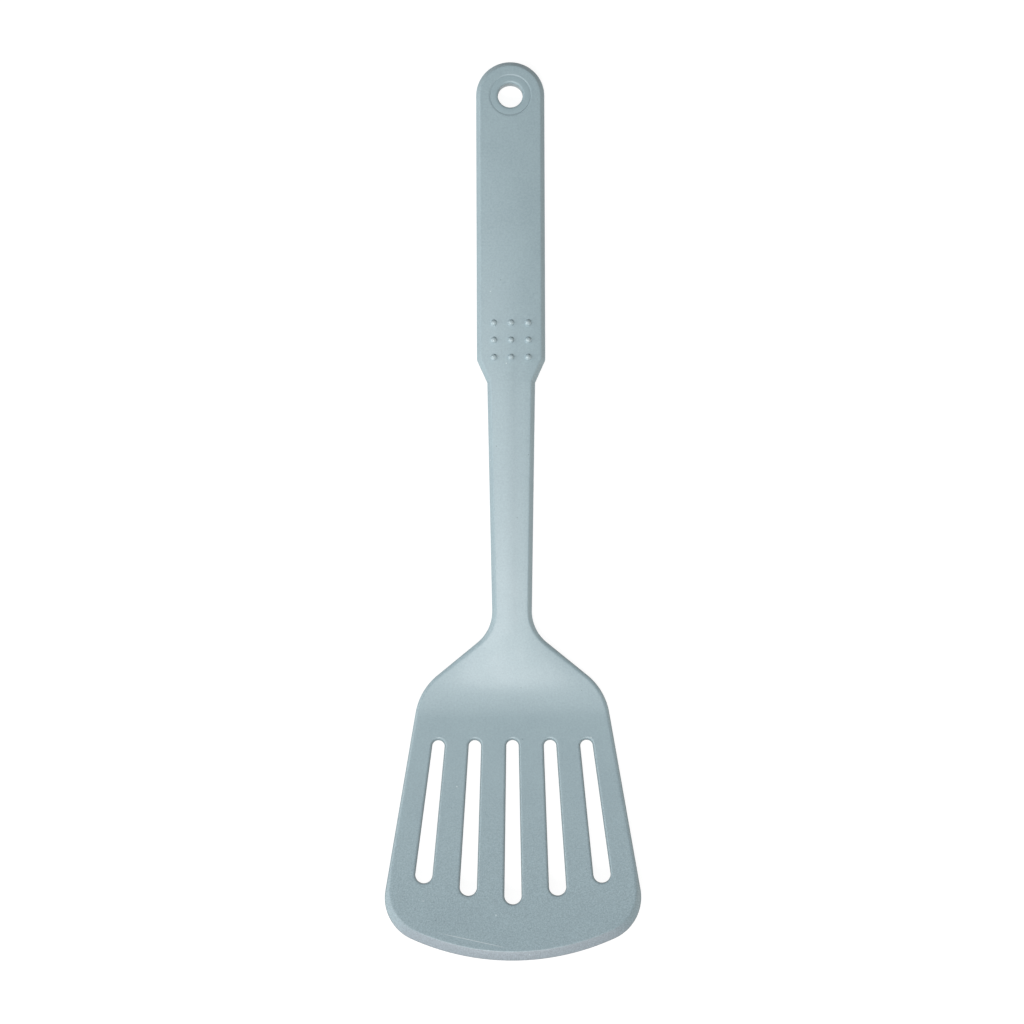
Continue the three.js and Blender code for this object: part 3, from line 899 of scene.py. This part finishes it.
# %% [markdown]
# ## Painted light and shade on the blade
# The blade is painted darker towards its lip, as painted shade where it leans away from the main lamp,
# and its steep faces, most of all the walls of the slots, are painted darker as painted shade. The bevel
# of the lip, which faces the main lamp, is painted paler as painted light. This could be painted on an
# image. Here it follows the place along the object and the way that the surface faces, so it fits the
# mesh exactly and shows from every side.

# %% Painted shade towards the lip
# Painted shade: the blade is drawn darker towards its lip, where it leans away from the main lamp.
BLADE_SHADE_END = 114
BLADE_SHADE_FULL = 14
BLADE_SHADE_SHARE = 0.48
BLADE_SHADE_COLOUR = "#7f929a"


def y_at(along):
    """Y in metres of a place along the object."""
    return (lip_y + along) * MM


def blade_shade_painted(tree, place, colour):
    along = add(tree, "ShaderNodeSeparateXYZ", {0: place}).outputs["Y"]
    ramp = {"Value": along, "From Min": y_at(BLADE_SHADE_END), "From Max": y_at(BLADE_SHADE_FULL), "To Max": BLADE_SHADE_SHARE}
    share = add(tree, "ShaderNodeMapRange", ramp)
    layers = {"Factor": share, "A": colour, "B": linear(BLADE_SHADE_COLOUR)}
    return add(tree, "ShaderNodeMix", layers, data_type="RGBA")


print("oil fades out over", BLADE_SHADE_END - BLADE_SHADE_FULL, "mm")

# %% Painted shade on the steep faces of the blade
# Painted shade: the steep faces of the blade, most of all the walls of the slots, are drawn darker.
WALL_SHADE_END = 86
WALL_SHADE_FULL = 82
WALL_SHADE_SHARE = 0.4
WALL_SHADE_COLOUR = "#5a6b70"
# Upward part of the surface's normal, where the painted shade starts and where it is full.
WALL_SHADE_GENTLE = 0.7
WALL_SHADE_STEEP = 0.5


def wall_shade_painted(tree, place, colour):
    along = add(tree, "ShaderNodeSeparateXYZ", {0: place}).outputs["Y"]
    ramp = {"Value": along, "From Min": y_at(WALL_SHADE_END), "From Max": y_at(WALL_SHADE_FULL), "To Max": WALL_SHADE_SHARE}
    on_blade = add(tree, "ShaderNodeMapRange", ramp)
    facing = add(tree, "ShaderNodeNewGeometry").outputs["Normal"]
    upward = add(tree, "ShaderNodeSeparateXYZ", {0: facing}).outputs["Z"]
    ramp = {"Value": upward, "From Min": WALL_SHADE_GENTLE, "From Max": WALL_SHADE_STEEP, "To Max": on_blade}
    share = add(tree, "ShaderNodeMapRange", ramp)
    layers = {"Factor": share, "A": colour, "B": linear(WALL_SHADE_COLOUR)}
    return add(tree, "ShaderNodeMix", layers, data_type="RGBA")


print("stain on faces steeper than", round(math.degrees(math.acos(WALL_SHADE_GENTLE))), "degrees")

# %% Painted light on the bevel of the lip
# Painted light: the bevel of the lip, which faces the main lamp, is drawn paler.
BEVEL_LIGHT_COLOUR = "#97a3ab"
# Backward part of the surface's normal, negative where it faces the front.
FRONT_START = -0.12
FRONT_FULL = -0.3


def bevel_light_painted(tree, place, colour):
    along = add(tree, "ShaderNodeSeparateXYZ", {0: place}).outputs["Y"]
    ramp = {"Value": along, "From Min": y_at(LIP_BEVEL_FADE), "From Max": y_at(LIP_BEVEL_FULL)}
    near = add(tree, "ShaderNodeMapRange", ramp)
    facing = add(tree, "ShaderNodeNewGeometry").outputs["Normal"]
    backward = add(tree, "ShaderNodeSeparateXYZ", {0: facing}).outputs["Y"]
    ramp = {"Value": backward, "From Min": FRONT_START, "From Max": FRONT_FULL}
    front = add(tree, "ShaderNodeMapRange", ramp)
    share = add(tree, "ShaderNodeMath", {0: front, 1: near}, operation="MULTIPLY")
    layers = {"Factor": share, "A": colour, "B": linear(BEVEL_LIGHT_COLOUR)}
    return add(tree, "ShaderNodeMix", layers, data_type="RGBA")


print("rubbed within", LIP_BEVEL_FADE, "mm of the lip")

# %% [markdown]
# ## Painted shade on the neck, and marks of use
# A darker streak down the middle of the neck, over its faint sink, is painted shade between the sheen of
# its two crowned flanks. Heat and use open the grain of the blade, so it looks coarser towards the lip. A
# few dark and pale flecks of fibre and dust lie in the plastic, and the lip has one pale scratch. Real dust
# and grain have no order, so a noise and a cell texture draw them. The streak and the scratch have a place
# of their own, so they are worked out from coordinates.

# %% Painted shade down the middle of the neck
# Painted shade: a darker streak down the middle of the neck, between the sheen of its two flanks.
STREAK_X = 0.9
STREAK_WIDTH = 3.2
STREAK_RISE = (108, 124)
STREAK_FALL = (235, 205)
NECK_SHADE_SHARE = 0.28
NECK_SHADE_COLOUR = "#7f929a"


def neck_shade_painted(tree, place, colour):
    parts = add(tree, "ShaderNodeSeparateXYZ", {0: place})
    offset = add(tree, "ShaderNodeMath", {0: parts.outputs["X"], 1: STREAK_X * MM}, operation="SUBTRACT")
    aside = add(tree, "ShaderNodeMath", {0: offset}, operation="ABSOLUTE")
    along = parts.outputs["Y"]
    level = NECK_SHADE_SHARE
    for start, end in (STREAK_RISE, STREAK_FALL):
        ramp = {"Value": along, "From Min": y_at(start), "From Max": y_at(end), "To Max": level}
        level = add(tree, "ShaderNodeMapRange", ramp)
    ramp = {"Value": aside, "From Min": STREAK_WIDTH * MM, "From Max": 0, "To Max": level}
    share = add(tree, "ShaderNodeMapRange", ramp)
    layers = {"Factor": share, "A": colour, "B": linear(NECK_SHADE_COLOUR)}
    return add(tree, "ShaderNodeMix", layers, data_type="RGBA")


print("streak is", 2 * STREAK_WIDTH, "mm wide")

# %% Speckle of the blade
# Open grain is nearer 0.2 mm. A picture this coarse would not show that, so it is drawn larger.
SPECKLE_SIZE = 0.45
SPECKLE_DETAIL = 2
SPECKLE_END = 84
SPECKLE_FULL = 24
SPECKLE_SHARE = 0.18
# Most values of a noise texture lie between these two.
NOISE_LOW = 0.3
NOISE_HIGH = 0.7


def per_metre(size):
    """Texture scale for a pattern of that size in millimetres, on coordinates in metres."""
    return 1 / (size * MM)


def speckled(tree, place, colour):
    along = add(tree, "ShaderNodeSeparateXYZ", {0: place}).outputs["Y"]
    ramp = {"Value": along, "From Min": y_at(SPECKLE_END), "From Max": y_at(SPECKLE_FULL)}
    share = add(tree, "ShaderNodeMapRange", {**ramp, "To Max": SPECKLE_SHARE})
    pattern = {"Vector": place, "Scale": per_metre(SPECKLE_SIZE), "Detail": SPECKLE_DETAIL}
    noise = add(tree, "ShaderNodeTexNoise", pattern)
    ramp = {"Value": noise, "From Min": NOISE_LOW, "From Max": NOISE_HIGH, "To Min": -1, "To Max": 1}
    rough = add(tree, "ShaderNodeMapRange", ramp)
    level = add(tree, "ShaderNodeMath", {0: rough, 1: share, 2: 1}, operation="MULTIPLY_ADD")
    return add(tree, "ShaderNodeVectorMath", {0: colour, 1: level}, operation="MULTIPLY")


print("speckle scale:", round(per_metre(SPECKLE_SIZE)), "per metre")

# %% Flecks
FLECK_SPACING = 6
FLECK_RADIUS = 0.3
FLECK_STRENGTH = 0.55
FLECK_DARK = "#5f6e72"
FLECK_PALE = "#dfe8ea"
# Cells whose random value is under the first number are dark, and over the second one pale.
FLECK_KINDS = (0.6, 0.65)


def flecked(tree, place, colour):
    """A cell texture fills space, so only the few cells whose middle lies in the surface show as a spot."""
    cells = add(tree, "ShaderNodeTexVoronoi", {"Vector": place, "Scale": per_metre(FLECK_SPACING)})
    reach = FLECK_RADIUS / FLECK_SPACING
    ramp = {"Value": cells.outputs["Distance"], "From Min": reach / 2, "From Max": reach}
    spot = add(tree, "ShaderNodeMapRange", {**ramp, "To Min": FLECK_STRENGTH, "To Max": 0})
    chance = add(tree, "ShaderNodeSeparateColor", {0: cells.outputs["Color"]})
    ramp = {"Value": chance, "From Min": FLECK_KINDS[0], "From Max": FLECK_KINDS[1]}
    kind = add(tree, "ShaderNodeMapRange", ramp)
    layers = {"Factor": kind, "A": linear(FLECK_DARK), "B": linear(FLECK_PALE)}
    fleck = add(tree, "ShaderNodeMix", layers, data_type="RGBA")
    return add(tree, "ShaderNodeMix", {"Factor": spot, "A": colour, "B": fleck}, data_type="RGBA")


print("flecks are", 2 * FLECK_RADIUS, "mm wide at most")

# %% Scratch near the lip
SCRATCH_X = -14.3
SCRATCH_ALONG = 7.2
SCRATCH_TURN = math.radians(-12.5)
SCRATCH_LENGTH = 26
SCRATCH_WIDTH = 0.2
SCRATCH_STRENGTH = 0.5
SCRATCH_COLOUR = "#d3dde0"


def scratched(tree, place, colour):
    """A thin line in coordinates of its own, which fades at both ends."""
    middle = (SCRATCH_X * MM, y_at(SCRATCH_ALONG), 0)
    turned = {"Vector": place, "Location": middle, "Rotation": (0, 0, SCRATCH_TURN)}
    own = add(tree, "ShaderNodeMapping", turned, vector_type="TEXTURE")
    reach = add(tree, "ShaderNodeVectorMath", {0: own}, operation="ABSOLUTE")
    parts = add(tree, "ShaderNodeSeparateXYZ", {0: reach})
    ramp = {"Value": parts.outputs["Y"], "From Min": SCRATCH_WIDTH * MM, "From Max": SCRATCH_WIDTH / 4 * MM}
    line = add(tree, "ShaderNodeMapRange", {**ramp, "To Max": SCRATCH_STRENGTH})
    half = SCRATCH_LENGTH / 2 * MM
    ramp = {"Value": parts.outputs["X"], "From Min": half, "From Max": half / 2, "To Max": line}
    share = add(tree, "ShaderNodeMapRange", ramp)
    layers = {"Factor": share, "A": colour, "B": linear(SCRATCH_COLOUR)}
    return add(tree, "ShaderNodeMix", layers, data_type="RGBA")


print("scratch is", SCRATCH_LENGTH, "mm long")

# %% [markdown]
# ## Moulded nylon
# The whole object is glass-fibre filled nylon, injection moulded in spark-eroded steel. That gives the
# eye an even, slightly cloudy grey-blue, a fine matt grain and a broad soft sheen instead of a clear
# reflection. A scan of real plastic would need an image, so clouds and grain come from noise in the
# object's own millimetres, and run on over the joint. Plain nylon has an IOR of about 1.53 and matt
# mouldings a roughness of about 0.4. The glass raises the IOR, and both were then matched to the sheen
# of the object.

# %% Moulded nylon material
CLOUD_SIZE = 14
CLOUD_DETAIL = 3
CLOUD_SHARE = 0.4
# Spark-eroded grain is nearer 0.1 mm. A picture this coarse would not show that, so it is drawn larger.
GRAIN_SIZE = 0.6
GRAIN_DETAIL = 2
GRAIN_DEPTH = 0.09
GRAIN_STRENGTH = 0.25
MOTTLE_SPREAD = 0.35
GLOSS_SPREAD = 0.03
NYLON_IOR = 1.6
# Real marks of use and dust, with painted light and shade on the blade and the neck.
MARKS_AND_PAINTED_LIGHT = (blade_shade_painted, wall_shade_painted, bevel_light_painted, neck_shade_painted, speckled, flecked, scratched)


def moulded_nylon(name, light, dark, roughness):
    material = bpy.data.materials.new(name)
    material.use_nodes = True
    tree = material.node_tree
    tree.nodes.clear()
    place = add(tree, "ShaderNodeTexCoord").outputs["Object"]
    pattern = {"Vector": place, "Scale": per_metre(CLOUD_SIZE), "Detail": CLOUD_DETAIL}
    clouds = add(tree, "ShaderNodeTexNoise", pattern)
    pattern = {"Vector": place, "Scale": per_metre(GRAIN_SIZE), "Detail": GRAIN_DETAIL}
    grain = add(tree, "ShaderNodeTexNoise", pattern)
    mottle = add(tree, "ShaderNodeMath", {0: clouds, 1: CLOUD_SHARE, 2: grain}, operation="MULTIPLY_ADD")
    middle = 0.5 + CLOUD_SHARE / 2
    ramp = {"Value": mottle, "From Min": middle - MOTTLE_SPREAD, "From Max": middle + MOTTLE_SPREAD}
    share = add(tree, "ShaderNodeMapRange", ramp)
    layers = {"Factor": share, "A": linear(dark), "B": linear(light)}
    colour = add(tree, "ShaderNodeMix", layers, data_type="RGBA")
    for finish_and_painted_light in MARKS_AND_PAINTED_LIGHT:
        colour = finish_and_painted_light(tree, place, colour)
    ramp = {"Value": clouds, "From Min": NOISE_LOW, "From Max": NOISE_HIGH}
    limits = {"To Min": roughness - GLOSS_SPREAD, "To Max": roughness + GLOSS_SPREAD}
    gloss = add(tree, "ShaderNodeMapRange", {**ramp, **limits})
    relief = {"Height": grain, "Strength": GRAIN_STRENGTH, "Distance": GRAIN_DEPTH * MM}
    bump = add(tree, "ShaderNodeBump", relief)
    surface = {"Base Color": colour, "Roughness": gloss, "Normal": bump, "IOR": NYLON_IOR}
    shader = add(tree, "ShaderNodeBsdfPrincipled", surface)
    add(tree, "ShaderNodeOutputMaterial", {"Surface": shader})
    print("made", name, "with", len(tree.nodes), "nodes")
    return material


# %% Nylon of the pieces
# Straight from the eroded mould: matt, with a broad soft sheen.
body_nylon = moulded_nylon("moulded_nylon_spark_eroded", "#a2b7bd", "#8ea3ab", 0.38)
# The bush is a shade darker and more even, so it reads as a ring of its own.
eyelet_nylon = moulded_nylon("moulded_nylon_satin_bush", "#9ab0b7", "#92a7ae", 0.37)
# The studs are glossier, so each shows a small highlight, and their colour is paler as a painted highlight.
dot_nylon = moulded_nylon("moulded_nylon_satin_stud", "#b2c5cb", "#a9bdc3", 0.22)

# %% [markdown]
# ## Pieces and the solids that they stand for
# Each fine mesh hides the imported solid that it was drawn from, rides on the same body and gets its
# material. The solids could be deleted instead, but here they stay hidden. Nothing on this object moves,
# so every piece rides on the one body.

# %% Fit the pieces
pieces = [
    (blade, "blade", "blade_nylon", body_nylon),
    (handle, "handle", "handle_nylon", body_nylon),
    (eyelet, "hanging_eyelet", "eyelet_nylon", eyelet_nylon),
]
pieces += [(dot, f"grip_dot_{count + 1}", "dot_nylon", dot_nylon) for count, dot in enumerate(dots)]
for piece, node, finish_and_painted_light, material in pieces:
    piece.data.materials.append(material)
    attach(piece, "root")
    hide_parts(node)
print("fitted", len(pieces), "pieces")

# %% [markdown]
# ## Floor
# The object lies on a white studio floor. More light would whiten the floor but wash out the object. So
# the rays that see the background directly meet a floor with a glow of its own, which is nearly white.
# The rest is reflected light, so that a faint shadow stays. All other rays meet a grey floor, so little
# light comes back up from below.

# %% Rays that see the background
def seen_directly(tree):
    """1 for rays from the camera and for mirror-like and clear views of the background."""
    path = add(tree, "ShaderNodeLightPath")
    pair = {0: path.outputs["Is Camera Ray"], 1: path.outputs["Is Glossy Ray"]}
    either = add(tree, "ShaderNodeMath", pair, operation="MAXIMUM")
    pair = {0: either, 1: path.outputs["Is Transmission Ray"]}
    return add(tree, "ShaderNodeMath", pair, operation="MAXIMUM")


# %% Floor paint
FLOOR_GLOW = 0.94

floor_paint = bpy.data.materials.new("white_studio_floor")
floor_paint.use_nodes = True
tree = floor_paint.node_tree
tree.nodes.clear()
plain = add(tree, "ShaderNodeBsdfDiffuse", {"Color": linear("#b8b8b8")})
faint = add(tree, "ShaderNodeBsdfDiffuse", {"Color": linear("#6f6f6f")})
glow = add(tree, "ShaderNodeEmission", {"Color": linear("#ffffff"), "Strength": FLOOR_GLOW})
bright = add(tree, "ShaderNodeAddShader", {0: faint, 1: glow})
mix = add(tree, "ShaderNodeMixShader", {0: seen_directly(tree), 1: plain, 2: bright})
add(tree, "ShaderNodeOutputMaterial", {"Surface": mix})
print("floor paint glows at", FLOOR_GLOW)

# %% Floor
FLOOR_SIZE = 6

half = FLOOR_SIZE / 2
floor_corners = [(-half, -half, 0), (half, -half, 0), (half, half, 0), (-half, half, 0)]
floor_mesh = bpy.data.meshes.new("studio_floor")
floor_mesh.from_pydata(floor_corners, [], [(0, 1, 2, 3)])
floor_mesh.materials.append(floor_paint)
floor = bpy.data.objects.new("studio_floor", floor_mesh)
bpy.context.scene.collection.objects.link(floor)
print("floor is", FLOOR_SIZE, "m wide")

# %% [markdown]
# ## World
# The room round the object is white too. An image of a studio could light it, but a plain colour has no
# reflections that draw the eye. The same rays as before see it white, and as a light it is very weak, so
# that the lamps alone shape the object.

# %% World
WORLD_LEVEL = 0.05

world = bpy.data.worlds.new("studio_world")
world.use_nodes = True
tree = world.node_tree
tree.nodes.clear()
soft = add(tree, "ShaderNodeBackground", {"Color": linear("#ffffff"), "Strength": WORLD_LEVEL})
white = add(tree, "ShaderNodeBackground", {"Color": linear("#ffffff"), "Strength": 1})
mix = add(tree, "ShaderNodeMixShader", {0: seen_directly(tree), 1: soft, 2: white})
add(tree, "ShaderNodeOutputWorld", {"Surface": mix})
bpy.context.scene.world = world
bpy.context.scene.view_settings.view_transform = "Standard"
print("world lights at", WORLD_LEVEL)

# %% [markdown]
# ## Camera
# The picture looks straight down with a long lens. An orthographic camera would come close, but a lens
# keeps the little depth that a real view has. The frame is square and holds a known stretch of the
# object, so the lens follows from the camera's height. The object lies a fraction of a degree askew in
# the frame, and the camera is turned by that much.

# %% Camera
CAMERA_HEIGHT = 5
CAMERA_REACH = 20
FRAME_WIDTH = 364.8 * MM
FRAME_PLANE = 9 * MM
CAMERA_X = 0.12 * MM
CAMERA_Y = -0.4 * MM
CAMERA_ROLL = math.radians(-0.2)
SENSOR = 36

camera_data = bpy.data.cameras.new("overhead_camera")
camera_data.sensor_width = SENSOR
camera_data.lens = SENSOR * (CAMERA_HEIGHT - FRAME_PLANE) / FRAME_WIDTH
camera_data.clip_end = CAMERA_REACH
camera = bpy.data.objects.new("overhead_camera", camera_data)
camera.location = (CAMERA_X, CAMERA_Y, CAMERA_HEIGHT)
camera.rotation_euler = (0, 0, CAMERA_ROLL)
bpy.context.scene.collection.objects.link(camera)
bpy.context.scene.camera = camera
print("lens in mm:", round(camera_data.lens, 1))

# %% [markdown]
# ## Lamps
# The neck leans towards the lip and is the brightest part, and the blade leans the other way and is
# darker, so the main light stands beyond the lip. A sun lamp would give a hard edge to every shadow, so
# all lamps are wide panels. The main one is far off and lights both ends alike. Two more, overhead and
# on the left, brighten the left half of the crowned handle. Two low panels draw the chamfers: a stronger
# one on the left, and a weak warm one on the right.

# %% Lamps
LAMP_TARGET = Vector((0, 0, 0.01))
# Name, place and size in metres, power in watts, and colour.
LAMPS = [
    ("front_softbox", (-0.35, -2.55, 5.45), (2.2, 1.2), 173, "#ffffff"),
    ("overhead_softbox", (-1.0, 0.2, 6.0), (1.6, 1.6), 54, "#ffffff"),
    ("left_softbox", (-3.3, -1.0, 4.2), (1.2, 1.2), 34, "#ffffff"),
    ("left_panel", (-0.9, -0.1, 0.36), (1.4, 0.6), 6.2, "#ffffff"),
    ("right_panel", (0.9, -0.16, 0.22), (0.9, 0.3), 1.6, "#fdf4e6"),
]

for name, place, size, power, colour in LAMPS:
    light = bpy.data.lights.new(name, "AREA")
    light.shape = "RECTANGLE"
    light.size, light.size_y = size
    light.energy = power
    light.color = linear(colour)[:3]
    lamp = bpy.data.objects.new(name, light)
    lamp.location = place
    lamp.rotation_euler = (Vector(place) - LAMP_TARGET).to_track_quat("Z", "Y").to_euler()
    bpy.context.scene.collection.objects.link(lamp)
    print(name, power, "W")

# %% [markdown]
# ## Last update
# The view layer is brought up to date at the end. The drawn pieces may not outgrow the imported solids.

# %% Update the view layer
bpy.context.view_layer.update()
